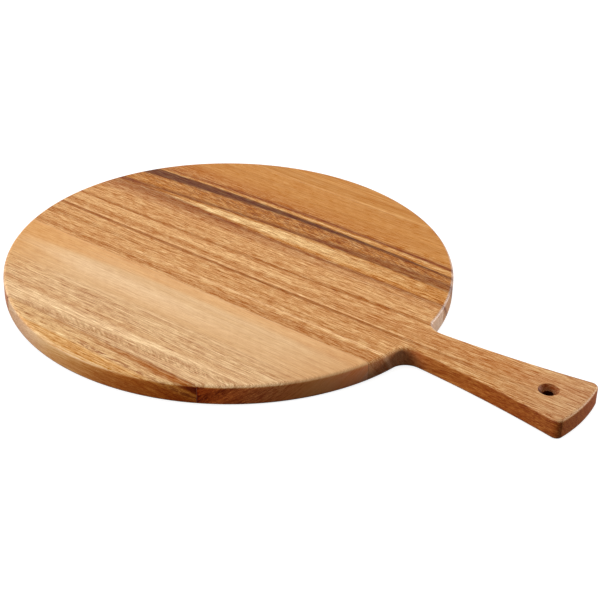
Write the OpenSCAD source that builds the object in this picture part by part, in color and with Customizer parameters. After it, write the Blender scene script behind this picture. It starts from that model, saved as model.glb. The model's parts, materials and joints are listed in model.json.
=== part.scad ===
// Pizza serving board: a round board with a paddle handle, glued up edge to edge from staves.
// The origin is the centre of the round on its underside. The handle and the grain run along +X.

/* [Round board] */
// Diameter of the round
board_d = 330; // [240:1:420]
// Thickness of the wood
board_t = 15; // [12:0.5:24]
// Radius worked along the upper edge
top_round_r = 2.5; // [1:0.1:5]
// Radius worked along the lower edge
bottom_round_r = 2; // [1:0.1:5]

/* [Handle] */
// How far the handle reaches past the rim of the round
handle_len = 127; // [100:1:180]
// Width of the handle where it leaves the round
neck_w = 28; // [22:0.5:40]
// Width that the two sides would have at the tip, before the corners are rounded
end_w = 57; // [44:0.5:80]
// Radius of the long hollow curve of each side
side_arc_r = 890; // [500:10:2000]
// Radius of the inside corner between the round and the handle
neck_fillet_r = 12; // [6:0.5:20]
// Radius of the curved end
end_arc_r = 118; // [70:1:200]
// Radius of the two outer corners
corner_r = 5; // [5:0.5:9]

/* [Hanging hole] */
// Diameter of the hole
hole_d = 7; // [5:0.5:12]
// Distance from the tip to the centre of the hole
hole_inset = 26; // [20:0.5:40]
// Diameter of the countersink at each face
countersink_d = 14; // [13:0.5:18]

/* [Staves] */
// Widest part of the narrow stave at the front
front_stave_w = 25; // [12:1:45]
// Widest part of the narrow stave at the back
rear_stave_w = 29; // [12:1:45]
// Thickness of the glue in each joint
glue_t = 0.15; // [0.1:0.01:0.4]

/* [Hidden] */
// How far cuts and strips run past what they cut
overrun = 1;
// The step that centres of curves are first placed to
fine_step = 0.001;

board_r = board_d / 2;
tip_x = board_r + handle_len;
countersink_depth = (countersink_d - hole_d) / 2;

// The three full staves share what the two narrow ones leave
full_stave_w = (board_d - front_stave_w - rear_stave_w) / 3;
joint_1_y = -board_r + front_stave_w;
joint_2_y = joint_1_y + full_stave_w;
joint_3_y = joint_2_y + full_stave_w;
joint_4_y = joint_3_y + full_stave_w;

function unit(v) = v / norm(v);
function mirrored(p) = [p.x, -p.y];

// The point where two circles cross, on the right of the line from the first centre to the second
function meeting(c1, r1, c2, r2) =
    let (
        span = norm(c2 - c1),
        along = unit(c2 - c1),
        reach = (span * span + r1 * r1 - r2 * r2) / (2 * span)
    )
    c1 + reach * along + sqrt(r1 * r1 - reach * reach) * [along.y, -along.x];

// Centre of the hollow side curve, which passes the neck width at the rim and the end width at the tip
neck_point = [board_r, neck_w / 2];
end_point = [tip_x, end_w / 2];
side_run = end_point - neck_point;
side_rise = sqrt(side_arc_r * side_arc_r - norm(side_run) * norm(side_run) / 4);
side_c = (neck_point + end_point) / 2 + side_rise * unit([-side_run.y, side_run.x]);

// Centres of the curved end, the inside corner at the neck and the outer corner at the tip
end_c = [tip_x - end_arc_r, 0];
fillet_c = meeting([0, 0], board_r + neck_fillet_r, side_c, side_arc_r - neck_fillet_r);
corner_c = meeting(end_c, end_arc_r - corner_r, side_c, side_arc_r + corner_r);

// The curves change over on these lines: disc to fillet, fillet to side, side to corner, corner to end
fillet_to_handle = unit(fillet_c - side_c);
corner_to_side = unit(side_c - corner_c);
corner_to_end = unit(corner_c - end_c);
inner_neck = unit(fillet_c) * (board_r - neck_fillet_r);
neck_mid = fillet_c - fillet_to_handle * fillet_c.y / fillet_to_handle.y;
corner_side_out = corner_c + corner_to_side * 2 * corner_r;
corner_end_out = corner_c + corner_to_end * 2 * corner_r;

// Steps in a full circle, with more of them for the long side curves
$fn = 144;
side_steps = 720;

// What a rounded edge takes off a square one, for an edge whose wood lies towards -X
module edge_waste(radius) {
    difference() {
        square([radius + overrun, radius + overrun]);
        circle(radius);
    }
}

// Upper and lower edge waste beside a wall at the given distance from the axis
module rim_waste(radius) {
    translate([radius - top_round_r, board_t - top_round_r])
        edge_waste(top_round_r);
    translate([radius - bottom_round_r, bottom_round_r])
        mirror([0, 1])
            edge_waste(bottom_round_r);
}

// A disc of the board's thickness with its edges rounded
module rounded_disc(radius) {
    rotate_extrude()
        difference() {
            square([radius, board_t]);
            rim_waste(radius);
        }
}

// What is cut away to leave a hollow curve with rounded edges
module hollow_cutter(radius) {
    rotate_extrude() {
        translate([0, -overrun])
            square([radius, board_t + 2 * overrun]);
        translate([2 * radius, 0])
            mirror([1, 0])
                rim_waste(radius);
    }
}

// Moves to a point in two steps, a coarse one and the fine rest, so that a file which keeps
// six digits of each number still leaves neighbouring curves flush
module at(point) {
    coarse = [round(point.x / fine_step), round(point.y / fine_step)] * fine_step;
    translate(coarse)
        translate(point - coarse)
            children();
}

module slab(points) {
    linear_extrude(board_t)
        polygon(points);
}

// The part of the round between two joints, each of which leaves half of its glue's room
module stave_of_round(y_low, y_high) {
    intersection() {
        rounded_disc(board_r);
        translate([-board_r - overrun, y_low, -overrun])
            cube([board_d + 2 * overrun, y_high - y_low, board_t + 2 * overrun]);
    }
}

// The middle stave's share of the round, cut away where the neck takes over
module round_behind_neck() {
    difference() {
        stave_of_round(joint_2_y + glue_t / 2, joint_3_y - glue_t / 2);
        translate([0, 0, -overrun])
            linear_extrude(board_t + 2 * overrun)
                polygon([
                    inner_neck, fillet_c, mirrored(fillet_c), mirrored(inner_neck)
                ]);
    }
}

// Where the round flows into the handle
module neck() {
    difference() {
        slab([
            inner_neck, fillet_c, neck_mid, mirrored(fillet_c), mirrored(inner_neck)
        ]);
        at(fillet_c)
            hollow_cutter(neck_fillet_r);
        at(mirrored(fillet_c))
            hollow_cutter(neck_fillet_r);
    }
}

// The waisted length of the handle between the neck and the end
module shaft() {
    difference() {
        slab([
            neck_mid, fillet_c, corner_side_out, corner_c,
            mirrored(corner_c), mirrored(corner_side_out), mirrored(fillet_c)
        ]);
        at(side_c)
            hollow_cutter(side_arc_r, $fn = side_steps);
        at(mirrored(side_c))
            hollow_cutter(side_arc_r, $fn = side_steps);
    }
}

// The slice of the big disc that makes the curved end
module curved_end() {
    intersection() {
        at(end_c)
            rounded_disc(end_arc_r);
        slab([
            corner_c, corner_end_out, [tip_x + overrun, corner_end_out.y],
            [tip_x + overrun, -corner_end_out.y], mirrored(corner_end_out), mirrored(corner_c)
        ]);
    }
}

// One outer corner, above the centre line
module corner() {
    intersection() {
        at(corner_c)
            rounded_disc(corner_r);
        slab([
            corner_c, corner_side_out, corner_side_out + corner_end_out - corner_c, corner_end_out
        ]);
    }
}

module hanging_hole() {
    translate([tip_x - hole_inset, 0]) {
        translate([0, 0, -overrun])
            cylinder(h = board_t + 2 * overrun, d = hole_d);
        translate([0, 0, board_t - countersink_depth])
            cylinder(h = countersink_depth, d1 = hole_d, d2 = countersink_d);
        cylinder(h = countersink_depth, d1 = countersink_d, d2 = hole_d);
    }
}

module glue_line(joint_y) {
    stave_of_round(joint_y - glue_t / 2, joint_y + glue_t / 2);
}

module front_stave() {
    color("goldenrod")
        stave_of_round(-board_r - overrun, joint_1_y - glue_t / 2);
}

module pale_stave() {
    color("burlywood")
        stave_of_round(joint_1_y + glue_t / 2, joint_2_y - glue_t / 2);
}

module handle_stave() {
    color("peru")
        difference() {
            union() {
                round_behind_neck();
                neck();
                shaft();
                curved_end();
                corner();
                mirror([0, 1])
                    corner();
            }
            hanging_hole();
        }
}

module striped_stave() {
    color("sienna")
        stave_of_round(joint_3_y + glue_t / 2, joint_4_y - glue_t / 2);
}

module rear_stave() {
    color("sandybrown")
        stave_of_round(joint_4_y + glue_t / 2, board_r + overrun);
}

module front_glue_line() {
    color("saddlebrown")
        glue_line(joint_1_y);
}

module pale_glue_line() {
    color("saddlebrown")
        glue_line(joint_2_y);
}

module striped_glue_line() {
    color("saddlebrown")
        glue_line(joint_3_y);
}

module rear_glue_line() {
    color("saddlebrown")
        glue_line(joint_4_y);
}

front_stave();
pale_stave();
handle_stave();
striped_stave();
rear_stave();
front_glue_line();
pale_glue_line();
striped_glue_line();
rear_glue_line();
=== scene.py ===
# %% [markdown]
# # Pizza serving board
#
# The object is a round wooden board with a paddle handle, glued up from five staves and oiled.
# Its shape is simple, so nearly all of its character is in the wood. This file first loads the
# measured frame, then sets the camera and the lights, cuts each stave out with bmesh operators,
# and spends most of its length on the material: a solid wood that runs right through each stave.

import json
import math

import bmesh
import bpy
from mathutils import Matrix, Vector


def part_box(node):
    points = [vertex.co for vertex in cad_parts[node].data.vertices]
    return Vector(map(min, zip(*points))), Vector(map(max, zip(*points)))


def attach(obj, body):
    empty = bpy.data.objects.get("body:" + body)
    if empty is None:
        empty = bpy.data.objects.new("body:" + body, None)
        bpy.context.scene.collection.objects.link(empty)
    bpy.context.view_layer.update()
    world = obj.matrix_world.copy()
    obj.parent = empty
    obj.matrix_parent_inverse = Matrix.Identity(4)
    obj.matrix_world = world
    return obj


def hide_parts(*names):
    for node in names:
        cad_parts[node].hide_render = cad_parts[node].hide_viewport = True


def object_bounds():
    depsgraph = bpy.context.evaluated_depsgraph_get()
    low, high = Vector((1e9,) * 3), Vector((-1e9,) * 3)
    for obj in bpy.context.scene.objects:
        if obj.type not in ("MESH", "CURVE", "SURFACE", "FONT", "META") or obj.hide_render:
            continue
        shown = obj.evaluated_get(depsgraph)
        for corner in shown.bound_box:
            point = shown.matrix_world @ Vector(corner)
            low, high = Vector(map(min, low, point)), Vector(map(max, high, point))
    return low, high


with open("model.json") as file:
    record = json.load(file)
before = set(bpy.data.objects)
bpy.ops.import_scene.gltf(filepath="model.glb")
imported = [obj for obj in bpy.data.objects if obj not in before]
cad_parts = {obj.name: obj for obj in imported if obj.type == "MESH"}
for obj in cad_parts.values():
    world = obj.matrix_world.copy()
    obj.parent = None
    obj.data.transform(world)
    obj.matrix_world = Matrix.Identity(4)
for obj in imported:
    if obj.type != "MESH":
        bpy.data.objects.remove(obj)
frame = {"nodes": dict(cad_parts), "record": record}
cad_low, cad_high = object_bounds()
print("frame nodes:", ", ".join(sorted(frame["nodes"])))

# %% [markdown]
# ## Sizes
#
# Everything is in metres. The frame's boxes give the round's radius, the tip of the handle, the
# thickness and the faces of each joint, and the record gives the hanging hole. Only the curves
# that no box can tell are written here, with the values that the frame was built from.

# %% Sizes read from the frame, and the curves that it doesn't give
mm = 0.001
handle_low, handle_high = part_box("handle_stave")
round_r = -handle_low.x
tip_x = handle_high.x
thickness = handle_high.z

neck_w = 28 * mm
end_w = 57 * mm
side_arc_r = 890 * mm
neck_fillet_r = 12 * mm
end_arc_r = 118 * mm
corner_r = 5 * mm
top_round_r = 2.5 * mm
bottom_round_r = 2 * mm
countersink_r = 7 * mm

hole = next(m for m in frame["record"]["mounts"] if m["name"] == "hanging_hole")
hole_x = hole["pos_m"][0]
hole_r = hole["dims"]["r_mm"] * mm
print(f"round {2 * round_r:.3f} m across, {tip_x + round_r:.3f} m long, {thickness:.3f} m thick")

# %% [markdown]
# ## Camera
#
# The photograph was taken from about 31 degrees above the table, with the handle coming forward
# to the right. A camera is easiest to match as a direction, a distance and a focal length. The
# small roll is the tilt of the photographer's hand.

# %% Place the camera
view_azimuth = math.radians(-53.89)
view_elevation = math.radians(31.16)
view_roll = math.radians(1.80)
view_distance = 1.0368
view_target = Vector((0.0602, 0.0067, 0))
focal_pixels = 1426
frame_pixels = 600
sensor_w = 36

to_camera = Vector((
    math.cos(view_elevation) * math.cos(view_azimuth),
    math.cos(view_elevation) * math.sin(view_azimuth),
    math.sin(view_elevation),
))
camera_data = bpy.data.cameras.new("photo_camera")
camera_data.sensor_width = sensor_w
camera_data.lens = focal_pixels / frame_pixels * sensor_w
camera = bpy.data.objects.new("photo_camera", camera_data)
bpy.context.collection.objects.link(camera)
aim = to_camera.to_track_quat("Z", "Y").to_matrix().to_4x4()
place = Matrix.Translation(view_target + to_camera * view_distance)
camera.matrix_world = place @ aim @ Matrix.Rotation(view_roll, 4, "Z")
bpy.context.scene.camera = camera
print(f"camera lens {camera_data.lens:.1f} mm")

# %% [markdown]
# ## Light
#
# A studio lights such a board with one big soft lamp overhead, set back a little behind it, so
# that the flat face is bright and the edge that faces the camera falls into shade. Two soft lamps
# stand low, one on the left and one behind on the right, and light little more than the rim on
# their own side. A wide weak one further back on the left leaves a thin glint along the rounded
# edge there. Area lamps give soft edges and a broad, quiet sheen on oiled wood, which small lamps
# would turn into spots.

# %% Hang the soft lamps
def soft_lamp(name, azimuth, elevation, distance, size, power):
    data = bpy.data.lights.new(name, "AREA")
    data.shape = "RECTANGLE"
    data.size, data.size_y = size
    data.energy = power
    lamp = bpy.data.objects.new(name, data)
    bpy.context.collection.objects.link(lamp)
    a = math.radians(azimuth)
    e = math.radians(elevation)
    direction = Vector((math.cos(e) * math.cos(a), math.cos(e) * math.sin(a), math.sin(e)))
    turn = direction.to_track_quat("Z", "Y").to_matrix().to_4x4()
    lamp.matrix_world = Matrix.Translation(direction * distance) @ turn
    lamp.visible_camera = False
    return lamp


lamps = [
    soft_lamp("overhead_softbox", 120, 82, distance=1.7, size=(1.6, 1.2), power=19),
    soft_lamp("left_softbox", 244, 12, distance=2.2, size=(0.8, 0.5), power=33),
    soft_lamp("right_softbox", 50, 9, distance=2.2, size=(0.8, 0.5), power=35),
    soft_lamp("edge_softbox", 190, 26, distance=2.2, size=(1.6, 0.8), power=12),
]
print("lamps:", ", ".join(lamp.name for lamp in lamps))

# %% [markdown]
# ## Node helpers
#
# Every material below is made of nodes, and node code gets long when each link is written out.
# These helpers each add one node and give back the socket that holds its answer, so a line of
# them reads like a sum. In the node editor the nodes would all lie on one heap, so the last helper
# sets each of them to the right of whatever feeds it.

# %% Helpers that add nodes
def put(tree, socket, value):
    """Link a socket to another node's output, or set it to a plain value."""
    if isinstance(value, bpy.types.NodeSocket):
        tree.links.new(value, socket)
    else:
        socket.default_value = value


def calc(tree, operation, *values, clamp=False):
    node = tree.nodes.new("ShaderNodeMath")
    node.operation = operation
    node.use_clamp = clamp
    for socket, value in zip(node.inputs, values):
        put(tree, socket, value)
    return node.outputs[0]


def product(tree, first, *others):
    for value in others:
        first = calc(tree, "MULTIPLY", first, value)
    return first


def total(tree, first, *others):
    for value in others:
        first = calc(tree, "ADD", first, value)
    return first


def ramp(tree, value, from_low, from_high, to_low=0, to_high=1, smooth=True):
    """0 below one number, 1 above another and a smooth rise between, or two other results."""
    node = tree.nodes.new("ShaderNodeMapRange")
    node.interpolation_type = "SMOOTHSTEP" if smooth else "LINEAR"
    for socket, number in zip(node.inputs, (value, from_low, from_high, to_low, to_high)):
        put(tree, socket, number)
    return node.outputs["Result"]


def lay_out(tree):
    """Set the nodes in columns, from left to right in the order in which they are worked out."""
    column = {node.name: 0 for node in tree.nodes}
    settled = False
    while not settled:
        settled = True
        for link in tree.links:
            needed = column[link.from_node.name] + 1
            if column[link.to_node.name] < needed:
                column[link.to_node.name] = needed
                settled = False
    filled = dict.fromkeys(column.values(), 0)
    for node in tree.nodes:
        at = column[node.name]
        node.location = (200 * at, -220 * filled[at])
        filled[at] += 1


print("node helpers ready")

# %% [markdown]
# ## World
#
# The backdrop in such a photograph is white paper. Making it white with more light would bleach
# the wood, so its whiteness comes from the shader instead. Light Path tells what kind of ray has
# arrived. Rays from the camera and reflections see plain white, while the light that reaches the
# wood from around it stays low.

# %% White surroundings that give little light
def own_tree(block):
    """The empty node tree of a new material or world."""
    block.use_nodes = True
    block.node_tree.nodes.clear()
    return block.node_tree


def shader(tree, kind, colour, strength=None):
    node = tree.nodes.new(kind)
    node.inputs["Color"].default_value = (*colour, 1)
    if strength is not None:
        put(tree, node.inputs["Strength"], strength)
    return node.outputs[0]


def looked_at(tree, in_gloss=1):
    """1 for rays from the camera or through glass, and in_gloss for reflections."""
    rays = tree.nodes.new("ShaderNodeLightPath").outputs
    reflected = calc(tree, "MULTIPLY", rays["Is Glossy Ray"], in_gloss)
    seen = calc(tree, "MAXIMUM", rays["Is Camera Ray"], reflected)
    return calc(tree, "MAXIMUM", seen, rays["Is Transmission Ray"])


def show(tree, output, unseen, seen, factor):
    """Close a tree: one shader for the light that bounces, another for what is looked at."""
    mix = tree.nodes.new("ShaderNodeMixShader")
    for socket, value in zip(mix.inputs, (factor, unseen, seen)):
        put(tree, socket, value)
    put(tree, tree.nodes.new(output).inputs["Surface"], mix.outputs[0])
    lay_out(tree)


world = bpy.data.worlds.new("studio")
bpy.context.scene.world = world
tree = own_tree(world)
ambient = shader(tree, "ShaderNodeBackground", (0.95, 0.97, 1.0), strength=0.16)
white = shader(tree, "ShaderNodeBackground", (1, 1, 1))
show(tree, "ShaderNodeOutputWorld", ambient, white, looked_at(tree))
print("nodes in the world:", len(tree.nodes))

# %% [markdown]
# ## Floor
#
# The floor is one large face of paper. To the camera it glows softly and is matt as well, so it
# comes out paper white where the lamps reach it and grey under the board. Away from the board,
# where the lamps fade, the glow rises to full white, and no grey horizon shows in a low view. For
# the light that bounces back up to the wood the paper is nearly black, which keeps the shaded rim
# dark. A reflection in the wood gets a mix of the two papers, with less of the white one towards
# the handle.

# %% Lay the floor
floor_mesh = bpy.data.meshes.new("paper_floor")
bm = bmesh.new()
bmesh.ops.create_grid(bm, x_segments=1, y_segments=1, size=6)
bm.to_mesh(floor_mesh)
bm.free()
floor = bpy.data.objects.new("paper_floor", floor_mesh)
bpy.context.collection.objects.link(floor)

paper = bpy.data.materials.new("white_paper")
tree = own_tree(paper)
spot = tree.nodes.new("ShaderNodeTexCoord").outputs["Object"]
spot_parts = tree.nodes.new("ShaderNodeSeparateXYZ")
put(tree, spot_parts.inputs[0], spot)
in_gloss = ramp(tree, spot_parts.outputs["X"], -0.05, 0.1, 0.5, 0.3, smooth=False)
from_board = tree.nodes.new("ShaderNodeVectorMath")
from_board.operation = "LENGTH"
put(tree, from_board.inputs[0], spot)
glow_strength = ramp(tree, from_board.outputs["Value"], 0.6, 1.5, 0.86, 1, smooth=False)
lit_paper = tree.nodes.new("ShaderNodeAddShader")
put(tree, lit_paper.inputs[0], shader(tree, "ShaderNodeEmission", (1, 1, 1), glow_strength))
put(tree, lit_paper.inputs[1], shader(tree, "ShaderNodeBsdfDiffuse", (0.35, 0.35, 0.35)))
dark_paper = shader(tree, "ShaderNodeBsdfDiffuse", (0.05, 0.05, 0.05))
show(tree, "ShaderNodeOutputMaterial", dark_paper, lit_paper.outputs[0], looked_at(tree, in_gloss))
floor_mesh.materials.append(paper)
print("nodes in the floor:", len(tree.nodes))

# %% [markdown]
# ## Outline of the board
#
# Seen from above, half of the outline is five arcs that run smoothly into each other: the curved
# end of the handle, its outer corner, the long hollow side, the inside corner at the neck, and
# the round itself. Where two arcs meet, both centres and the meeting point are on one line, so
# the centres of the small arcs are found by crossing two circles, as with a pair of compasses.

# %% Find the centres of the arcs
def crossing(c1, r1, c2, r2):
    """The crossing of two circles that lies on the right of the way from c1 to c2."""
    span = (c2 - c1).length
    along = (c2 - c1) / span
    reach = (span * span + r1 * r1 - r2 * r2) / (2 * span)
    right = Vector((along.y, -along.x, 0))
    return c1 + along * reach + right * math.sqrt(r1 * r1 - reach * reach)


round_c = Vector((0, 0, 0))
neck_point = Vector((round_r, neck_w / 2, 0))
end_point = Vector((tip_x, end_w / 2, 0))
side_run = end_point - neck_point
side_rise = math.sqrt(side_arc_r ** 2 - side_run.length_squared / 4)
outwards = Vector((-side_run.y, side_run.x, 0)).normalized()
side_c = (neck_point + end_point) / 2 + outwards * side_rise
end_c = Vector((tip_x - end_arc_r, 0, 0))
fillet_c = crossing(round_c, round_r + neck_fillet_r, side_c, side_arc_r - neck_fillet_r)
corner_c = crossing(end_c, end_arc_r - corner_r, side_c, side_arc_r + corner_r)
print(f"inside corner centre {tuple(round(v / mm, 2) for v in fillet_c)} mm")
print(f"outer corner centre {tuple(round(v / mm, 2) for v in corner_c)} mm")

# %% [markdown]
# Spin turns a single vertex about a centre and leaves a chain of edges behind it. Five spins, each
# starting where the last one stopped, draw half of the outline. Mirror makes the other half.

# %% Draw the outline by spinning a vertex about each centre in turn
same_place = 1e-6


def heading(centre, point):
    return math.atan2(point.y - centre.y, point.x - centre.x)


def spin_vertex(bm, vert, centre, angle, steps):
    turned = bmesh.ops.spin(
        bm, geom=[vert], cent=centre, axis=(0, 0, 1), angle=angle, steps=steps, use_merge=False
    )
    return next(g for g in turned["geom_last"] if isinstance(g, bmesh.types.BMVert))


def draw_outline(bm):
    end_turn = heading(end_c, corner_c)
    side_from = heading(side_c, corner_c)
    side_to = heading(side_c, fillet_c)
    neck_turn = heading(round_c, fillet_c)
    vert = bm.verts.new((tip_x, 0, 0))
    vert = spin_vertex(bm, vert, end_c, end_turn, steps=14)
    vert = spin_vertex(bm, vert, corner_c, side_from + math.pi - end_turn, steps=14)
    vert = spin_vertex(bm, vert, side_c, side_to - side_from, steps=36)
    vert = spin_vertex(bm, vert, fillet_c, neck_turn - math.pi - side_to, steps=18)
    vert = spin_vertex(bm, vert, round_c, math.pi - neck_turn, steps=176)
    bmesh.ops.mirror(bm, geom=bm.verts[:] + bm.edges[:], axis="Y", merge_dist=same_place)
    bmesh.ops.remove_doubles(bm, verts=bm.verts, dist=same_place)
    return bm.edges[:]


bm = bmesh.new()
edges = draw_outline(bm)
print("outline edges:", len(edges))
print("ends left open:", sum(len(v.link_edges) != 2 for v in bm.verts))
print("length", round((max(v.co.x for v in bm.verts) - min(v.co.x for v in bm.verts)) / mm, 3))
print("width", round((max(v.co.y for v in bm.verts) - min(v.co.y for v in bm.verts)) / mm, 3))
bm.free()

# %% [markdown]
# ## Blank
#
# A woodworker glues the staves, saws the outline and then runs a rounding cutter round both
# edges. The bmesh does the same: fill the outline, extrude it to the board's thickness, and
# bevel the upper and lower edges. A narrow inset ring follows on each flat face. It lies in the
# face, so it changes no shape, but it stops the smooth shading of the rounded edge from
# spreading across the whole flat.

# %% Make the blank
ring_w = 0.4 * mm


def flat_face(bm, z):
    """The largest face at a height."""
    level = [f for f in bm.faces if all(abs(v.co.z - z) < same_place for v in f.verts)]
    return max(level, key=lambda f: f.calc_area())


def make_blank():
    bm = bmesh.new()
    edges = draw_outline(bm)
    bmesh.ops.edgeloop_fill(bm, edges=edges)
    raised = bmesh.ops.extrude_face_region(bm, geom=bm.faces[:])
    verts = [g for g in raised["geom"] if isinstance(g, bmesh.types.BMVert)]
    bmesh.ops.translate(bm, verts=verts, vec=(0, 0, thickness))
    bmesh.ops.recalc_face_normals(bm, faces=bm.faces)
    for z, radius in ((thickness, top_round_r), (0, bottom_round_r)):
        bmesh.ops.bevel(
            bm, geom=flat_face(bm, z).edges[:], offset=radius, affect="EDGES", segments=6,
            profile=0.5, material=-1, clamp_overlap=False,
        )
        bmesh.ops.inset_region(
            bm, faces=[flat_face(bm, z)], thickness=ring_w, use_even_offset=True
        )
    return bm


blank = make_blank()
print("blank faces:", len(blank.faces))
print("open edges:", sum(not e.is_manifold for e in blank.edges))
print("volume", round(blank.calc_volume() * 1e6, 2), "cm3")

# %% [markdown]
# ## Staves
#
# Each stave is the blank with everything beyond its two joints sliced away. Bisect cuts along a
# plane, and filling the cut edges gives the face that the glue holds.

# %% Slice the blank into staves
on_plane = 1e-7


def slice_off(bm, y, keep_above):
    cut = bmesh.ops.bisect_plane(
        bm, geom=bm.verts[:] + bm.edges[:] + bm.faces[:], dist=on_plane,
        plane_co=(0, y, 0), plane_no=(0, 1, 0),
        clear_inner=keep_above, clear_outer=not keep_above,
    )
    edges = [g for g in cut["geom_cut"] if isinstance(g, bmesh.types.BMEdge)]
    bmesh.ops.edgeloop_fill(bm, edges=edges)
    bmesh.ops.recalc_face_normals(bm, faces=bm.faces)


def cut_stave(node):
    low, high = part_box(node)
    bm = blank.copy()
    if low.y > cad_low.y + mm:
        slice_off(bm, low.y, keep_above=True)
    if high.y < cad_high.y - mm:
        slice_off(bm, high.y, keep_above=False)
    return bm


stave_nodes = ("front_stave", "pale_stave", "handle_stave", "striped_stave", "rear_stave")
staves = {node: cut_stave(node) for node in stave_nodes}
for node, bm in staves.items():
    open_edges = sum(not e.is_manifold for e in bm.edges)
    print(f"{node}: {len(bm.faces)} faces, {open_edges} open edges")

# %% [markdown]
# ## Hanging hole
#
# The hole near the tip is drilled and then countersunk from both faces. Its whole wall is one
# profile, spun once round the axis of the hole. The edges of a real countersink are never knife
# sharp after sanding, so the profile's rings are bevelled a little. Last, the two flat faces of
# the stave are filled again around the rings.

# %% Drill and countersink the hole
arris = 0.35 * mm


def drill(bm):
    for z in (thickness, 0):
        bmesh.ops.delete(bm, geom=[flat_face(bm, z)], context="FACES_ONLY")
    open_edges = [e for e in bm.edges if e.is_boundary]
    rims = {z: [e for e in open_edges if abs(e.verts[0].co.z - z) < same_place]
            for z in (thickness, 0)}
    depth = countersink_r - hole_r
    outer_r = countersink_r + 2 * arris
    profile = (
        (outer_r, thickness), (countersink_r, thickness), (hole_r, thickness - depth),
        (hole_r, depth), (countersink_r, 0), (outer_r, 0),
    )
    verts = [bm.verts.new((hole_x + r, 0, z)) for r, z in profile]
    chain = [bm.edges.new(pair) for pair in zip(verts, verts[1:])]
    bmesh.ops.spin(
        bm, geom=verts + chain, cent=(hole_x, 0, 0), axis=(0, 0, 1), angle=math.tau, steps=72,
        use_merge=True,
    )

    def ring(r, z):
        def on_ring(v):
            off_radius = abs(math.hypot(v.co.x - hole_x, v.co.y) - r)
            return off_radius < same_place and abs(v.co.z - z) < same_place
        return [e for e in bm.edges if all(on_ring(v) for v in e.verts)]

    for z in (thickness, 0):
        edges = rims[z] + ring(outer_r, z)
        bmesh.ops.triangle_fill(bm, edges=edges, use_beauty=True, normal=(0, 0, 1))
    bmesh.ops.recalc_face_normals(bm, faces=bm.faces)
    soft_edges = ring(*profile[1]) + ring(*profile[2]) + ring(*profile[3]) + ring(*profile[4])
    bmesh.ops.bevel(
        bm, geom=soft_edges, offset=arris, affect="EDGES", segments=3, profile=0.5, material=-1,
        clamp_overlap=False,
    )


drill(staves["handle_stave"])
bm = staves["handle_stave"]
print("open edges after drilling:", sum(not e.is_manifold for e in bm.edges))
print("wood left in the stave", round(bm.calc_volume() * 1e6, 2), "cm3")

# %% [markdown]
# ## Pieces
#
# Each mesh now becomes an object that stands for its solid in the frame. Faces are shaded smooth,
# and edges that turn by more than 40 degrees stay sharp, which is where a glue face meets the
# outside of the board.

# %% Turn the staves into pieces
sharp_turn = math.radians(40)
stave_objects = {}
for node, bm in staves.items():
    bm.normal_update()
    mesh = bpy.data.meshes.new(node + "_wood")
    bm.to_mesh(mesh)
    bm.free()
    mesh.shade_smooth()
    mesh.set_sharp_from_angle(angle=sharp_turn)
    piece = bpy.data.objects.new(node + "_wood", mesh)
    bpy.context.collection.objects.link(piece)
    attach(piece, "root")
    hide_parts(node)
    stave_objects[node] = piece
    print(f"{piece.name}: {len(mesh.polygons)} faces")

# %% [markdown]
# ## Wood, from the inside
#
# Painting a picture of wood on the top would leave the edges wrong. A solid wood is better: each
# stave has its own growth rings, running through its whole depth, so that a stripe on the face
# turns down the rim as it does on a real board. The parts of the effect are node groups, because
# all five staves use them with their own values. The helpers here open a group with named
# sockets, take places apart and put them together, and add noise.

# %% Helpers for node groups
def open_group(name, inputs, outputs):
    """A new group. An input is a number, a colour where it gives one, or a vector for None."""
    tree = bpy.data.node_groups.new(name, "ShaderNodeTree")
    for label, value in inputs.items():
        kind = "Vector" if value is None else "Color" if isinstance(value, tuple) else "Float"
        socket = tree.interface.new_socket(label, in_out="INPUT", socket_type="NodeSocket" + kind)
        if value is not None:
            socket.default_value = value
    for label, kind in outputs.items():
        tree.interface.new_socket(label, in_out="OUTPUT", socket_type="NodeSocket" + kind)
    entry = tree.nodes.new("NodeGroupInput")
    leave = tree.nodes.new("NodeGroupOutput")
    return tree, entry.outputs, leave.inputs


def split(tree, vector):
    node = tree.nodes.new("ShaderNodeSeparateXYZ")
    put(tree, node.inputs[0], vector)
    return node.outputs


def join(tree, x, y, z):
    node = tree.nodes.new("ShaderNodeCombineXYZ")
    for socket, value in zip(node.inputs, (x, y, z)):
        put(tree, socket, value)
    return node.outputs[0]


def scaled(tree, vector, factors):
    node = tree.nodes.new("ShaderNodeVectorMath")
    node.operation = "MULTIPLY"
    put(tree, node.inputs[0], vector)
    put(tree, node.inputs[1], factors)
    return node.outputs[0]


def noise(tree, vector, detail=2, roughness=0.5, distortion=0):
    node = tree.nodes.new("ShaderNodeTexNoise")
    put(tree, node.inputs["Vector"], vector)
    node.inputs["Scale"].default_value = 1
    node.inputs["Detail"].default_value = detail
    node.inputs["Roughness"].default_value = roughness
    node.inputs["Distortion"].default_value = distortion
    return node.outputs["Fac"]


def drawn_out(tree, place, per_mm, seed, **settings):
    """Noise with its own scale in each direction, slid along the grain by the stave's seed."""
    x, across, z = place
    along = calc(tree, "MULTIPLY_ADD", x, per_mm[0], seed)
    sideways = calc(tree, "MULTIPLY", across, per_mm[1])
    upwards = calc(tree, "MULTIPLY", z, per_mm[2])
    return noise(tree, join(tree, along, sideways, upwards), **settings)


def centred(tree, value, amount):
    """Noise that lies between 0 and 1, shifted to swing both ways round 0."""
    return calc(tree, "MULTIPLY", calc(tree, "SUBTRACT", value, 0.5), amount)


print("group helpers ready")

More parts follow.
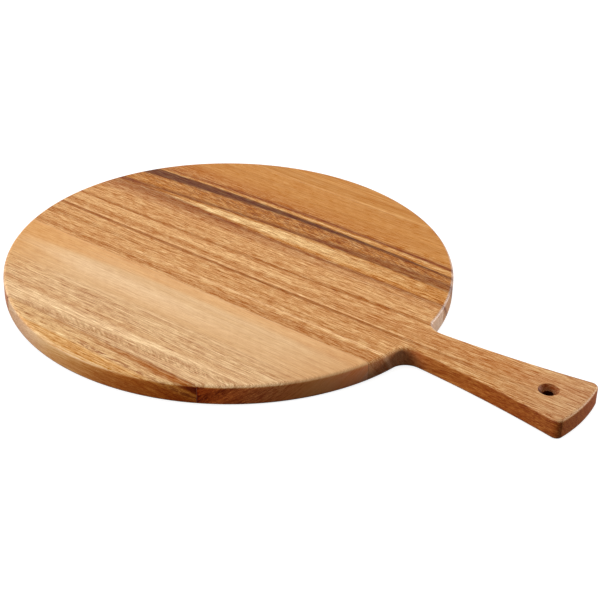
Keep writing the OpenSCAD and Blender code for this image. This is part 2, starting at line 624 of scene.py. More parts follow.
# %% [markdown]
# ### Wood space
#
# A stave is sawn from well outside the middle of the trunk, so its growth rings are nearly flat
# sheets that lean over inside it. This group turns a place in the stave, in millimetres, into wood
# space: along the grain, across the rings, and up. On the upper face the second number is simply
# the distance across the board, which makes stripes easy to place there. Deeper down it shifts
# with the lean, so a stripe turns over the edge and runs on down the rim. A slow wander keeps the
# lines from being ruled straight.

# %% Build the wood space group
tree, given, result = open_group(
    "Wood space", {"Lean": 1.0, "Wander": 1.0, "Seed": 0.0}, {"Place": "Vector"}
)
coordinates = tree.nodes.new("ShaderNodeTexCoord")
in_mm = scaled(tree, coordinates.outputs["Object"], (1000, 1000, 1000))
x, y, z = split(tree, in_mm)
depth = calc(tree, "SUBTRACT", thickness / mm, z)
across = calc(tree, "MULTIPLY_ADD", depth, given["Lean"], y)
slow = drawn_out(tree, (x, across, z), (0.011, 0.035, 0.03), given["Seed"], detail=2)
across = calc(tree, "ADD", across, centred(tree, slow, given["Wander"]))
put(tree, result["Place"], join(tree, x, across, z))
lay_out(tree)
wood_space = tree
print("nodes in the wood space group:", len(tree.nodes))

# %% [markdown]
# ### Streak
#
# The dark heartwood bands and cream sapwood flashes are the board's signature, so they are placed
# one by one. A streak is a band that follows a gentle curve along the grain. The curve is given by
# its distance across the board at three stations, 150 mm to the left of the middle, the middle
# and 150 mm to the right, and so are its half width and its strength. A strength below nothing
# only says where the band has faded out on its way to a station.

# %% Open the streak group and find the band's course
station = 150
tree, given, result = open_group(
    "Streak",
    {
        "Place": None,
        "Path left": 0.0, "Path middle": 0.0, "Path right": 0.0,
        "Width left": 2.0, "Width middle": 2.0, "Width right": 2.0,
        "Strength left": 1.0, "Strength middle": 1.0, "Strength right": 1.0,
        "Soft low": 2.0, "Soft high": 2.0, "Fray": 1.0, "Lines": 0.3, "Mottle": 0.0,
        "Slant": 0.0, "Seed": 0.0,
    },
    {"Mask": "Float"},
)
x, across, z = split(tree, given["Place"])
t = calc(tree, "DIVIDE", x, station)
rightward = calc(tree, "MAXIMUM", t, 0)
leftward = calc(tree, "MAXIMUM", calc(tree, "MULTIPLY", t, -1), 0)


def by_station(name):
    """A value that runs straight from each station to the next."""
    middle = given[name + " middle"]
    to_right = calc(tree, "SUBTRACT", given[name + " right"], middle)
    to_left = calc(tree, "SUBTRACT", given[name + " left"], middle)
    value = calc(tree, "MULTIPLY_ADD", to_right, rightward, middle)
    return calc(tree, "MULTIPLY_ADD", to_left, leftward, value)


path_left, path_middle, path_right = (given["Path " + at] for at in ("left", "middle", "right"))
half_run = product(tree, calc(tree, "SUBTRACT", path_right, path_left), 0.5)
half_sum = product(tree, calc(tree, "ADD", path_right, path_left), 0.5)
bow = calc(tree, "SUBTRACT", half_sum, path_middle)
course = calc(tree, "MULTIPLY_ADD", half_run, t, path_middle)
course = calc(tree, "MULTIPLY_ADD", bow, calc(tree, "MULTIPLY", t, t), course)
print("nodes for the course of a streak:", len(tree.nodes))

# %% [markdown]
# The band is the place between its two edges. Each edge has its own softness, and noise frays it.
# Inside, fine noise takes Lines out of the band along the grain. Where the grain curls, a real
# dark band is broken into short strokes that lean over: Mottle says how strongly, and Slant how
# far they lean.

# %% Give the band its edges, lines and strokes
ragged = drawn_out(tree, (x, across, z), (0.035, 0.22, 0.15), given["Seed"],
                   detail=4, roughness=0.62)
off_course = calc(tree, "SUBTRACT", across, course)
off_course = total(tree, off_course, centred(tree, ragged, given["Fray"]))
width = calc(tree, "MAXIMUM", by_station("Width"), 0)
low_edge = product(tree, width, -1)
half_low = product(tree, given["Soft low"], 0.5)
half_high = product(tree, given["Soft high"], 0.5)
above_low = ramp(tree, off_course, calc(tree, "SUBTRACT", low_edge, half_low),
                 calc(tree, "ADD", low_edge, half_low))
below_high = ramp(tree, off_course, calc(tree, "SUBTRACT", width, half_high),
                  calc(tree, "ADD", width, half_high), 1, 0)
strength = calc(tree, "MAXIMUM", by_station("Strength"), 0)
band = calc(tree, "MULTIPLY", calc(tree, "MULTIPLY", above_low, below_high), strength, clamp=True)

fine = drawn_out(tree, (x, across, z), (0.012, 0.75, 0.2), given["Seed"],
                 detail=3, roughness=0.65)
gaps = product(tree, ramp(tree, fine, 0.4, 0.6, 1, 0), given["Lines"])
band = product(tree, band, calc(tree, "SUBTRACT", 1, gaps))

slanted = calc(tree, "MULTIPLY_ADD", x, given["Slant"], across)
strokes = drawn_out(tree, (x, slanted, z), (0.13, 0.6, 0.4), given["Seed"],
                    detail=3, roughness=0.7)
bare = product(tree, ramp(tree, strokes, 0.44, 0.56, 1, 0), given["Mottle"])
band = product(tree, band, calc(tree, "SUBTRACT", 1, bare))
put(tree, result["Mask"], band)
lay_out(tree)
streak_group = tree
print("nodes in the streak group:", len(tree.nodes))

# %% [markdown]
# ### Grain
#
# Between the streaks, wood is fine detail at several sizes. Growth rings make soft stripes a few
# millimetres wide, with thin lines between them. Fibres make dashes about a millimetre wide and a
# finger long, and pores are fine dark slits that show as dots where the saw crossed the grain.
# Some of the fibres lean over in waves, which shows as a faint slanting ripple called curl. Each
# is the same noise, only stretched by another amount.

# %% Build the grain group
tree, given, result = open_group(
    "Grain",
    {"Place": None, "Ring spacing": 5.0, "Seed": 0.0},
    {"Rings": "Float", "Lines": "Float", "Dashes": "Float", "Fibres": "Float", "Pores": "Float",
     "Curl": "Float"},
)
x, across, z = split(tree, given["Place"])
ring_place = join(tree, calc(tree, "MULTIPLY_ADD", x, 0.0045, given["Seed"]),
                  calc(tree, "DIVIDE", across, given["Ring spacing"]), 0)
rings = noise(tree, ring_place, detail=4, roughness=0.6)
lines = drawn_out(tree, (x, across, z), (0.013, 0.75, 0.2), given["Seed"],
                  detail=4, roughness=0.66)
dashes = noise(tree, scaled(tree, given["Place"], (0.12, 1.05, 1.05)),
               detail=4, roughness=0.74, distortion=0.3)
fibres = noise(tree, scaled(tree, given["Place"], (0.075, 2.0, 2.0)), detail=3, roughness=0.75)
pores = noise(tree, scaled(tree, given["Place"], (0.11, 1.35, 1.35)), detail=2, roughness=0.6)
ripple = product(tree, calc(tree, "MULTIPLY_ADD", across, 0.9, x), 0.16)
counter = product(tree, calc(tree, "MULTIPLY_ADD", across, -0.9, x), 0.03)
curl = noise(tree, join(tree, ripple, counter, product(tree, z, 0.05)), detail=3, roughness=0.6)

put(tree, result["Rings"], ramp(tree, rings, 0.3, 0.7, smooth=False))
put(tree, result["Lines"], ramp(tree, lines, 0.34, 0.66, smooth=False))
put(tree, result["Dashes"], ramp(tree, dashes, 0.34, 0.66, smooth=False))
put(tree, result["Fibres"], ramp(tree, fibres, 0.32, 0.68, smooth=False))
put(tree, result["Pores"], ramp(tree, pores, 0.59, 0.66))
put(tree, result["Curl"], ramp(tree, curl, 0.3, 0.7, smooth=False))
lay_out(tree)
grain_group = tree
print("nodes in the grain group:", len(tree.nodes))

# %% [markdown]
# ### Oiled surface and painted light
#
# The last group takes a stave's colour and finishes it as the oiled outside of the board, and it
# paints light and shade on the rim as well: a painted sheen, painted shade and painted light. It
# is the longest one, so it is built in steps. The first step tells the parts of the outside from
# each other. A surface that faces along X crosses the grain, and one that faces sideways is the
# rim. The direction comes from the Normal output of Texture Coordinate, which turns with the
# object, so what it says stays true wherever the camera stands.

# %% Open the oiled surface group and find which way the surface faces
tree, given, result = open_group(
    "Oiled surface and painted light",
    {
        "Place": None, "Wood color": (0.6, 0.4, 0.2, 1), "Line amount": 0.1, "Dash amount": 0.12,
        "Fibre amount": 0.08, "Pore amount": 0.3, "Curl amount": 0.06, "Calm beyond": 999.0,
        "End grain amount": 0.6, "Tip amount": 0.0, "Far amount": 0.0, "Edge left": 1.0,
        "Edge right": 1.0, "Seed": 0.0,
    },
    {"Color": "Color", "Roughness": "Float", "Coat": "Float", "Height": "Float"},
)
x, across, z = split(tree, given["Place"])
coordinates = tree.nodes.new("ShaderNodeTexCoord")
facing_x, facing_y, facing_z = split(tree, coordinates.outputs["Normal"])
end_grain = ramp(tree, calc(tree, "ABSOLUTE", facing_x), 0.25, 0.95)
upright = ramp(tree, calc(tree, "ABSOLUTE", facing_z), 0.08, 0.55, 1, 0)
not_upright = calc(tree, "SUBTRACT", 1, upright)
print("nodes with the direction:", len(tree.nodes))

# %% [markdown]
# A real rim isn't one even colour, but most of the changes along this one are painted light.
# Where it crosses the grain on the left, and again on the far side behind the handle with the
# rounding above it, it is painted pale and grey as a painted sheen. Round the back and below, the
# roundings are painted deeper in colour as painted shade, and the rim by the neck and the
# middle of the front rim get painted light. Each of these places becomes a mask between 0 and 1,
# made from ramps over the direction and over the place in millimetres, and a product of ramps is
# the place where all of them hold.

# %% Mask the parts of the rim
on_round = ramp(tree, x, 185, 200, 1, 0)
right_end = product(tree, ramp(tree, x, 90, 120), on_round)
far_side = product(tree, ramp(tree, facing_y, -0.05, 0.2), on_round)
# The left rim and the far rim are painted pale and grey further on, as a painted sheen.
left_rim = product(tree, upright, ramp(tree, facing_x, -0.1, -0.5))
far_rim = product(tree, far_side, end_grain, upright)
# The far rounding behind the handle gets the same painted sheen, and a little Coat.
far_rounding = product(tree, far_side, right_end, ramp(tree, facing_z, 0.99, 0.88), not_upright)

# The roundings at the back and below are painted deeper in colour, as painted shade.
behind = product(tree, ramp(tree, facing_y, 0.1, 0.5), calc(tree, "SUBTRACT", 1, right_end))
behind = calc(tree, "SUBTRACT", behind, upright, clamp=True)
beneath = product(tree, ramp(tree, facing_z, -0.05, -0.5), ramp(tree, facing_z, -0.98, -0.85))
painted_edge_shade = calc(tree, "MAXIMUM", behind, beneath)

# The rim by the neck and the middle of the front rim are painted lighter further on, as painted
# light.
near_neck = product(tree, ramp(tree, x, 105, 140), ramp(tree, x, 170, 190, 1, 0),
                    ramp(tree, facing_y, 0.1, -0.1), upright)
from_middle = calc(tree, "ABSOLUTE", calc(tree, "ADD", x, 6))
front_middle = product(tree, ramp(tree, from_middle, 22, 60, 1, 0), ramp(tree, z, 4, 12),
                  ramp(tree, facing_y, 0, -0.3))
print("nodes with the masks:", len(tree.nodes))

# %% [markdown]
# The grain now lightens and darkens the wood, each kind by the stave's own amount. It is weaker
# on the rim, and past the line that Calm beyond gives, because a real stave often has a lively
# part and a plain part. Lightness goes to the Value of a Hue/Saturation node, where 1 changes
# nothing.

# %% Lighten and darken with the grain
grain = tree.nodes.new("ShaderNodeGroup")
grain.node_tree = grain_group
put(tree, grain.inputs["Place"], given["Place"])
put(tree, grain.inputs["Seed"], given["Seed"])
past_line = calc(tree, "SUBTRACT", across, given["Calm beyond"])
lively = product(tree, ramp(tree, past_line, -9, 9, 1, 0.35),
                 calc(tree, "MULTIPLY_ADD", upright, -0.5, 1))
value = total(
    tree,
    centred(tree, grain.outputs["Dashes"], given["Dash amount"]),
    centred(tree, grain.outputs["Lines"], given["Line amount"]),
    centred(tree, grain.outputs["Fibres"], given["Fibre amount"]),
)
value = calc(tree, "MULTIPLY_ADD", value, lively, 1)
value = total(tree, value, centred(tree, grain.outputs["Curl"], given["Curl amount"]))
pore_shade = product(tree, grain.outputs["Pores"], lively, given["Pore amount"])
value = calc(tree, "SUBTRACT", value, pore_shade)
shade = tree.nodes.new("ShaderNodeHueSaturation")
put(tree, shade.inputs["Color"], given["Wood color"])
put(tree, shade.inputs["Value"], value)
print("nodes with the grain:", len(tree.nodes))

# %% [markdown]
# Dark grain is richer in colour than light grain, so saturation falls as the value rises. The
# parts of the rim with a painted sheen, and the roundings with painted shade, lose colour. Hue
# runs from yellow in the light grain to red in the dark, and the rim round the neck is painted
# redder still, as painted warm light.

# %% Set the colour's strength and hue
# Painted sheen on the pale parts of the rim and painted shade on the roundings take out colour.
painted_sheen_and_shade = calc(tree, "MAXIMUM", left_rim, product(tree, far_rim, 0.7))
painted_sheen_and_shade = calc(tree, "MAXIMUM", calc(tree, "MAXIMUM", painted_sheen_and_shade, painted_edge_shade), product(tree, far_rounding, 1.2))
cut_ends = product(tree, end_grain, given["End grain amount"])
saturation = calc(tree, "MULTIPLY_ADD", value, -0.45, calc(tree, "MULTIPLY_ADD", painted_sheen_and_shade, -0.35, 1.48))
# Painted light by the neck takes a little colour out of the end grain there.
saturation = total(tree, saturation, product(tree, near_neck, cut_ends, -0.05))
put(tree, shade.inputs["Saturation"], saturation)

# Painted warm light: the rim by the neck turns redder.
neck = product(tree, near_neck, ramp(tree, x, 140, 155))
redder = product(tree, calc(tree, "MULTIPLY_ADD", cut_ends, 0.005, product(tree, neck, -0.012)),
                 upright)
put(tree, shade.inputs["Hue"], total(tree, calc(tree, "MULTIPLY_ADD", value, 0.05, 0.45), redder))
print("nodes with the hue and saturation:", len(tree.nodes))

# %% [markdown]
# Where the saw crossed the grain, the open ends of the pores drink the oil and the wood turns
# deeper. The same Gamma node paints light and shade on the rim as well: much of the deep
# colour of the rim where the lamps don't reach it, and of the tip of the handle, is painted
# shade, the far rim is painted paler as a painted sheen, and the roundings at the back and
# below are painted deeper as painted shade. A Gamma node deepens a colour more where it is dark
# already, as oil does, and leaves black and white alone. Above 1 it deepens and below 1 it
# lightens. The stave gives the amount for its end grain, its edge on the left and on the right,
# its far rim and the tip of the handle. The rim by the neck and the middle of the front rim are
# painted a little lighter, as painted light.

# %% Deepen the colour where the wood drank oil
# The tip of the handle is deepened partly for oil in its end grain and partly as painted shade.
tip = product(tree, ramp(tree, x, 190, 290), given["Tip amount"])
# Oil in the end grain, with painted shade along the rim from the edge amounts.
oil_and_painted_light = total(tree, cut_ends, ramp(tree, x, -30, 45, given["Edge left"], given["Edge right"]))
oil_and_painted_light = calc(tree, "MULTIPLY_ADD", tip, calc(tree, "MULTIPLY_ADD", end_grain, 0.4, 0.6), oil_and_painted_light)
# The far rim is painted paler here, as a painted sheen.
oil_and_painted_light = calc(tree, "SUBTRACT", oil_and_painted_light, product(tree, far_rim, given["Far amount"]))
# The rim by the neck is painted lighter here, as painted light.
oil_and_painted_light = calc(tree, "MULTIPLY_ADD", near_neck, -0.3, oil_and_painted_light)
# Painted shade deepens the roundings at the back and below; painted light lifts the front middle.
depth = total(tree, calc(tree, "MULTIPLY_ADD", upright, oil_and_painted_light, 1), painted_edge_shade,
              product(tree, front_middle, -0.25))
deepen = tree.nodes.new("ShaderNodeGamma")
put(tree, deepen.inputs["Color"], shade.outputs[0])
put(tree, deepen.inputs["Gamma"], depth)
put(tree, result["Color"], deepen.outputs[0])
print("nodes with the depth of colour:", len(tree.nodes))

# %% [markdown]
# Last come the sheen and the relief. Oil lies thinner over the pores, so they are rougher. Hands
# polish the rounded upper edge, which gets a little Coat on its left side and on the far rounding
# behind the handle.
# The height of the fine relief is for a Bump node, and pores are its deepest part.

# %% Add the sheen and the relief
rough = calc(tree, "MULTIPLY_ADD", grain.outputs["Pores"], 0.2, 0.44)
rough = total(tree, rough, centred(tree, grain.outputs["Dashes"], 0.12))
put(tree, result["Roughness"], calc(tree, "MULTIPLY_ADD", upright, 0.04, rough))

glinting = calc(tree, "MAXIMUM", ramp(tree, x, 120, 150, 1, 0), ramp(tree, facing_x, 0.04, 0.18))
rounded = product(tree, ramp(tree, facing_z, 0.1, 0.4), ramp(tree, facing_z, 0.6, 0.8, 1, 0),
                  glinting)
gloss = calc(tree, "MULTIPLY_ADD", far_rounding, 0.4, ramp(tree, facing_x, -0.2, 0.2, 0.8, 0.1))
put(tree, result["Coat"], product(tree, rounded, gloss))

height = product(tree, grain.outputs["Fibres"], 0.35)
height = calc(tree, "SUBTRACT", height, grain.outputs["Pores"])
put(tree, result["Height"], calc(tree, "MULTIPLY_ADD", grain.outputs["Dashes"], 0.3, height))
lay_out(tree)
surface_group = tree
print("nodes in the oiled surface group:", len(tree.nodes))

# %% [markdown]
# ### Making a wood
#
# A wood starts from two colours, the light and the dark of its growth rings. Streaks are laid over
# them one by one, and the oiled surface, with its painted light and shade, closes the material.
# The shader itself is plain: oiled wood is a rough dielectric, and the thin film of oil gives it a
# soft sheen and no more.

# %% Helpers that lay up a wood
def srgb(red, green, blue):
    """A colour as a paint program shows it, from 0 to 255, made linear for the shader."""
    def linear(value):
        value = value / 255
        return value / 12.92 if value <= 0.04045 else ((value + 0.055) / 1.055) ** 2.4
    return (linear(red), linear(green), linear(blue), 1)


def blend(tree, factor, below, above):
    """Lay one colour over another."""
    node = tree.nodes.new("ShaderNodeMix")
    node.data_type = "RGBA"
    put(tree, node.inputs[0], factor)
    put(tree, node.inputs[6], below)
    put(tree, node.inputs[7], above)
    return node.outputs[2]


def place_group(tree, group, **values):
    """Put a group in a tree; ring_spacing=5 sets its input Ring spacing, and so on."""
    node = tree.nodes.new("ShaderNodeGroup")
    node.node_tree = group
    for name, value in values.items():
        put(tree, node.inputs[name.replace("_", " ").capitalize()], value)
    return node


def at_stations(name, values):
    """Settings for the left, the middle and the right, from three numbers or one for all."""
    left, middle, right = values if isinstance(values, tuple) else (values,) * 3
    return {name + "_left": left, name + "_middle": middle, name + "_right": right}


print("wood helpers ready")

# %% [markdown]
# The class keeps what a wood has so far: its material, its place in wood space and the colour
# with all the streaks laid up to now. Settings that are the same all over the surface are set on
# the shader itself.

# %% The wood under construction
class Wood:
    def __init__(self, name, light, dark, lean, ring_spacing, wander, seed):
        self.material = bpy.data.materials.new(name)
        self.material.use_nodes = True
        self.tree = self.material.node_tree
        self.seed = seed
        space = place_group(self.tree, wood_space, lean=lean, wander=wander, seed=seed)
        self.place = space.outputs["Place"]
        grain = place_group(self.tree, grain_group, place=self.place, ring_spacing=ring_spacing,
                            seed=seed)
        self.colour = blend(self.tree, grain.outputs["Rings"], srgb(*dark), srgb(*light))
        self.streaks = 0

    def streak(self, colour, path, width, strength, soft=(2, 2), fray=2, lines=0.3,
               mottle=0, slant=0):
        """Lay a band of another colour over the wood."""
        self.streaks += 1
        band = place_group(
            self.tree, streak_group, place=self.place, **at_stations("path", path),
            **at_stations("width", width), **at_stations("strength", strength),
            soft_low=soft[0], soft_high=soft[1], fray=fray, lines=lines, mottle=mottle,
            slant=slant, seed=self.seed + 3.7 * self.streaks,
        )
        self.colour = blend(self.tree, band.outputs["Mask"], self.colour, srgb(*colour))

    def finish(self, lines, dashes, fibres, pores=0.3, curl=0.08, calm=999, end_grain=0.2,
               tip=0, far=0, edge=(0.7, 0.7)):
        """Oil the wood, paint light and shade on its rim, and give back its material."""
        surface = place_group(
            self.tree, surface_group, place=self.place, wood_color=self.colour,
            line_amount=lines, dash_amount=dashes, fibre_amount=fibres, pore_amount=pores,
            curl_amount=curl, calm_beyond=calm, end_grain_amount=end_grain, tip_amount=tip,
            far_amount=far, edge_left=edge[0], edge_right=edge[1], seed=self.seed,
        )
        principled = self.tree.nodes["Principled BSDF"]
        principled.inputs["IOR"].default_value = 1.45
        principled.inputs["Specular IOR Level"].default_value = 0.1
        principled.inputs["Coat Roughness"].default_value = 0.4
        put(self.tree, principled.inputs["Base Color"], surface.outputs["Color"])
        put(self.tree, principled.inputs["Roughness"], surface.outputs["Roughness"])
        put(self.tree, principled.inputs["Coat Weight"], surface.outputs["Coat"])
        bump = self.tree.nodes.new("ShaderNodeBump")
        bump.inputs["Strength"].default_value = 0.35
        bump.inputs["Distance"].default_value = 0.08 * mm
        put(self.tree, bump.inputs["Height"], surface.outputs["Height"])
        put(self.tree, principled.inputs["Normal"], bump.outputs["Normal"])
        lay_out(self.tree)
        print(f"{self.material.name}: {self.streaks} streaks, {len(self.tree.nodes)} nodes")
        return self.material


print("ready to lay up", wood_space.name, streak_group.name, grain_group.name, surface_group.name)

# %% [markdown]
# ### Five woods
#
# All five staves are acacia, but from different parts of the log. Each one gets its own cell, its
# streaks listed roughly from the back of the stave to the front. Distances are in millimetres
# across the board from its centre line, positive towards the back. A path, width or strength is
# one number where it is the same at all three stations, and a later streak lies over an earlier
# one.
#
# The narrow stave at the back is plain, so it has only two faint streaks and hardly any pores.

# %% Rear stave
wood = Wood("rear_wood", light=(209, 150, 88), dark=(185, 122, 63), lean=0.9,
            ring_spacing=5, wander=2, seed=11)
wood.streak((189, 128, 68), path=143, width=3, strength=0.7, soft=(3, 2))
wood.streak((218, 160, 99), path=137.5, width=1, strength=(0.6, 0.7, 0.5), soft=(4, 4))
woods = {"rear_stave": wood.finish(lines=0.32, dashes=0.08, fibres=0.3, pores=0.02, curl=0.02)}

# %% [markdown]
# Next comes the heartwood, which gives the board its character. A soft brown zone is followed by
# a broken dark band, a dark line with a light one beside it, a nearly black streak that thins out
# to the right, a brown band, a cream flash and the dark line along the joint. Only the part in
# front of the 97 mm line is lively.

# %% Striped stave
wood = Wood("striped_wood", light=(206, 145, 83), dark=(187, 124, 65), lean=-0.8,
            ring_spacing=5, wander=1, seed=23)
wood.streak((174, 106, 54), path=(95, 98, 110), width=(12, 10, 2), strength=(0.8, 0.5, 0),
            soft=(10, 14))
wood.streak((132, 68, 30), path=(66, 74, 75.5), width=(10, 7.5, 7), strength=(0.55, 0.9, 0.8),
            soft=(8, 2), lines=0.4, fray=4, mottle=0.75, slant=0.35)
wood.streak((128, 60, 26), path=(82.5, 92.6, 90.2), width=(1.4, 1.6, 1.7), strength=(0.5, 0.95, 1),
            soft=(2, 5), lines=0.15)
wood.streak((210, 156, 98), path=(79, 88.3, 86.0), width=(0.8, 1.4, 1.6), strength=(0.2, 1, 1),
            soft=(1.5, 1.5), lines=0.1)
wood.streak((88, 40, 19), path=(73, 83.2, 80.4), width=(6, 2.6, 0.6), strength=(0.95, 1, 1),
            soft=(4, 2), fray=2.5, lines=0.15)
wood.streak((112, 52, 20), path=(50, 63.4, 68), width=(2.4, 1.8, 5.6), strength=(0.8, 1, 0.7),
            soft=(3, 6))
wood.streak((230, 186, 130), path=(44.5, 54.2, 54.5), width=(0.1, 5.4, 6), strength=(0.8, 1, 0),
            soft=(3, 3.5), fray=3, lines=0.2)
wood.streak((130, 62, 22), path=(44, 43, 44), width=(8, 2.4, 1.4), strength=(0.75, 0.95, 0.95),
            soft=(2, 4), lines=0.25)
# Its far amount paints the far rim paler, as a painted sheen.
woods["striped_stave"] = wood.finish(lines=0.4, dashes=0.52, fibres=0.95, curl=0.04, calm=97,
                                     far=0.8)

# %% [markdown]
# The middle stave runs on into the handle, so its lines have to flow on past the neck. Streaks
# whose strength starts below nothing only appear on their way to the handle, and the widest of
# them makes the tip a little paler.

# %% Handle stave
wood = Wood("handle_wood", light=(217, 164, 110), dark=(197, 140, 87), lean=-0.55,
            ring_spacing=4, wander=0.8, seed=37)
wood.streak((136, 70, 28), path=(41, 42.6, 43), width=(4.5, 2.2, 1.4), strength=(0.8, 0.9, 0.7),
            soft=(6, 3))
wood.streak((176, 117, 72), path=(35, 36.5, 36), width=(5, 3.5, 1.5), strength=(0.9, 0.7, 0.5),
            soft=(4, 4), lines=0.5)
wood.streak((164, 98, 44), path=(10.5, 12.2, 17.5), width=(1.5, 1.7, 1.9),
            strength=(0.95, 0.95, 0.9), soft=(2, 3))
wood.streak((224, 174, 120), path=(4, 4, 3), width=(3.6, 3.8, 3), strength=(0.6, 0.8, 0.1),
            soft=(3, 3))
wood.streak((186, 126, 74), path=(-4.5, -4, -2), width=(3, 3.2, 3), strength=(0.9, 0.7, 0.6))
wood.streak((232, 184, 132), path=(-9, -8.5, -6.6), width=(0.7, 0.8, 0.7), strength=(0.7, 0.8, 0.6),
            soft=(1.2, 1.2), lines=0.2)
wood.streak((148, 82, 32), path=(-12, -11.2, -9.3), width=(1.7, 1.6, 1.4),
            strength=(0.95, 0.95, 0.97), soft=(3, 1.2))
wood.streak((174, 114, 62), path=(-26, -26, -30), width=(3, 1.5, 1.5), strength=(0.8, 0.25, 0.3),
            soft=(3, 3))
wood.streak((172, 112, 62), path=(-17, -18, -17), width=1, strength=(0.6, 0.3, 0))
wood.streak((232, 186, 136), path=(-35, -34, -34), width=(1.5, 1.4, 1.2), strength=(-0.2, 0.6, 0.8))
wood.streak((164, 98, 46), path=(-43, -43.5, -42.5), width=(2, 3.3, 5.3),
            strength=(0.7, 0.72, 0.75), soft=(4, 2.5), lines=0.45, mottle=0.4, slant=0.15)
wood.streak((189, 126, 74), path=(4, 5, 5.5), width=(0, 4, 6.6), strength=(-1, -0.3, 0.42),
            soft=(4, 6), lines=0.2)
wood.streak((194, 138, 86), path=-13, width=(0, 5, 8), strength=(-1, -0.3, 0.35), soft=(4, 4))
wood.streak((198, 152, 112), path=0, width=40, strength=(-5, -2.36, -0.82), soft=(6, 6), lines=0)
print("streaks laid:", wood.streaks)

# %% [markdown]
# The wall of the countersink cuts through the fibres and drinks oil, so it is darker than the
# face, and its brown is darker still as painted shade in the hollow. A last colour is laid inside
# a circle round the hole: the distance from its axis is worked out from the place along and
# across the stave.

# %% Darken the countersink and oil the handle stave
# Oil and painted shade in the hollow of the countersink.
countersink_brown = srgb(132, 74, 38)
blur = 0.3
x, across, z = split(wood.tree, wood.place)
past_hole = calc(wood.tree, "SUBTRACT", hole_x / mm, x)
squares = total(wood.tree, product(wood.tree, past_hole, past_hole),
                product(wood.tree, across, across))
from_axis = calc(wood.tree, "SQRT", squares)
beyond = ramp(wood.tree, from_axis, countersink_r / mm - blur, countersink_r / mm + blur)
wood.colour = blend(wood.tree, beyond, countersink_brown, wood.colour)
# Its end grain amount below nothing and its far amount paint the far rim paler as a painted sheen,
# and its tip amount is partly painted shade.
woods["handle_stave"] = wood.finish(lines=0.3, dashes=0.44, fibres=0.8, end_grain=-0.5, tip=0.8,
                                    far=0.45, edge=(0.75, 0.72))

# %% [markdown]
# Sapwood is pale and calm. Towards the front of this stave it turns curly and brown, where it
# borders on heartwood: broad soft streaks give the slow change of colour, and narrow ones, broken
# by Mottle and leaned over by Slant, give the curl. Its rim is painted deep in colour where it
# faces sideways, which is painted shade on the rim that the lamps don't reach, and hardly deeper
# than the face where it crosses the grain, which is the other way round from the other staves. So
# its edge amounts are large and its end grain amount is below nothing.

# %% Pale stave
wood = Wood("pale_wood", light=(227, 188, 144), dark=(219, 176, 129), lean=1.1,
            ring_spacing=7, wander=5, seed=53)
wood.streak((238, 202, 160), path=(-70, -78, -70), width=(4, 9, 4), strength=(0.9, 0.6, -0.6),
            soft=(8, 10), fray=6)
wood.streak((219, 160, 102), path=(-56, -50, -50), width=(14, 8, 9), strength=(0.9, 0.65, 0.5),
            soft=(8, 4), fray=5)
wood.streak((215, 158, 99), path=-80, width=30, strength=(1, -1, -1), soft=(20, 8), fray=8)
wood.streak((214, 158, 102), path=-84, width=8, strength=(0, 0.25, 0.2), soft=(12, 12))
wood.streak((204, 148, 96), path=-74, width=24, strength=(-5, -1.4, 0.6), soft=(16, 20), lines=0.2)
wood.streak((178, 125, 76), path=(-106, -104, -98), width=(12, 14, 14), strength=(0.55, 0.6, 0.6),
            soft=(12, 16), fray=6, lines=0.9, mottle=0.6)
wood.streak((188, 132, 82), path=(-121, -118, -116), width=(3.5, 2.5, 2), strength=(0.8, 0.7, 0.4),
            soft=(5, 5), fray=5, mottle=0.4, slant=0.3)
wood.streak((238, 200, 154), path=(-129, -125.5, -112.5), width=(1.6, 2.2, 2.4),
            strength=(0.6, 0.9, 0.25), soft=(3, 4), fray=3)
wood.streak((166, 112, 64), path=(-144, -133, -121.5), width=(2.5, 3.6, 3),
            strength=(0.6, 0.8, 0.7), soft=(4, 5), fray=6, lines=0.4, mottle=0.8, slant=0.6)
wood.streak((180, 130, 84), path=(-138, -138, -137), width=(1, 3, 3), strength=(0.3, 0.75, 0.8),
            soft=(3, 3), fray=3, lines=0.7, mottle=0.5, slant=0.4)
woods["pale_stave"] = wood.finish(lines=0.42, dashes=0.26, fibres=0.65, pores=0.2, curl=0.04,
                                  calm=-96, end_grain=-3.85, edge=(3.9, 3.98))

# %% [markdown]
# The narrow stave at the front shows most of itself on the rim. Its lean carries streaks that are
# placed past the edge of the face, such as the one at -182 mm, down on to the rim. The thin dark
# ones follow the joint.

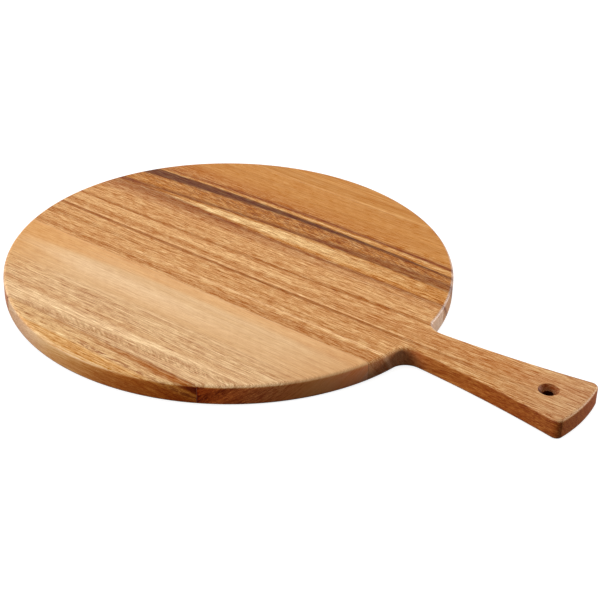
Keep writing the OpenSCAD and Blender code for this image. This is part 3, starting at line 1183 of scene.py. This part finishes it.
# %% Front stave
wood = Wood("front_wood", light=(224, 184, 134), dark=(204, 153, 102), lean=-1.1,
            ring_spacing=3, wander=2, seed=71)
wood.streak((207, 149, 86), path=(-162, -164, -165), width=(10, 10.5, 9.5), strength=(0.8, 1, 0.8),
            soft=(4, 3))
wood.streak((192, 138, 86), path=-182, width=16, strength=0.9, soft=(4, 8))
wood.streak((176, 114, 60), path=(-160, -170, -155), width=(8, 9, 14), strength=(0, 0.2, 1),
            soft=(3, 6))
wood.streak((230, 188, 134), path=(-140, -153, -152), width=2, strength=(0.3, 0.3, 0.5),
            soft=(2, 3), fray=4)
wood.streak((164, 96, 42), path=(-138, -141.5, -144), width=(0.5, 3, 6), strength=(-0.5, 0.5, 1.9),
            soft=(3, 1))
wood.streak((120, 58, 28), path=-140.5, width=(0.4, 0.5, 0.8), strength=(-2, 0.3, 1),
            soft=(0.8, 0.4))
wood.streak((148, 80, 42), path=(-152, -151.6, -155), width=(1.3, 1.5, 1.4), strength=(-8, 1, 0.2),
            soft=(1.6, 1.6), fray=5, lines=0.4, mottle=1)
# Its end grain and edge amounts deepen the rim, partly for oil and partly as painted shade, more
# towards the right.
woods["front_stave"] = wood.finish(lines=0.3, dashes=0.42, fibres=0.65, end_grain=2.5,
                                   edge=(-0.08, 0.66))

# %% [markdown]
# ## Staves and glue
#
# Each stave now gets its wood. The glue in a good joint is a brown line as thin as a hair. Its
# solids come straight from the frame, and they only need their own material: a little glossier
# than the wood, deeper down the rim, and uneven along its length, because the clamps press more
# glue out in some places than in others.

# %% Put the woods on the staves and the glue in the joints
for node, piece in stave_objects.items():
    piece.data.materials.append(woods[node])

glue = bpy.data.materials.new("wood_glue")
glue.use_nodes = True
tree = glue.node_tree
coordinates = tree.nodes.new("ShaderNodeTexCoord").outputs
squeeze = noise(tree, scaled(tree, coordinates["Object"], (35, 400, 400)), detail=3)
colour = blend(tree, ramp(tree, squeeze, 0.4, 0.6), srgb(136, 86, 48), srgb(176, 124, 76))
flatness = calc(tree, "ABSOLUTE", split(tree, coordinates["Normal"])["Z"])
deepen = tree.nodes.new("ShaderNodeGamma")
put(tree, deepen.inputs["Color"], colour)
put(tree, deepen.inputs["Gamma"], ramp(tree, flatness, 0.1, 0.6, 1.9, 1))
principled = tree.nodes["Principled BSDF"]
put(tree, principled.inputs["Base Color"], deepen.outputs[0])
put(tree, principled.inputs["Roughness"], ramp(tree, squeeze, 0.3, 0.7, 0.35, 0.5))
lay_out(tree)
for node in frame["nodes"]:
    if node.endswith("glue_line"):
        line = bpy.data.objects[node]
        for slot in line.material_slots:
            slot.material = glue
        print(node, "has", len(line.material_slots), "material slot")

# %% [markdown]
# ## Finish
#
# The picture is shown with the Standard view, so that colours stay as they were chosen.

# %% View transform
bpy.context.scene.view_settings.view_transform = "Standard"
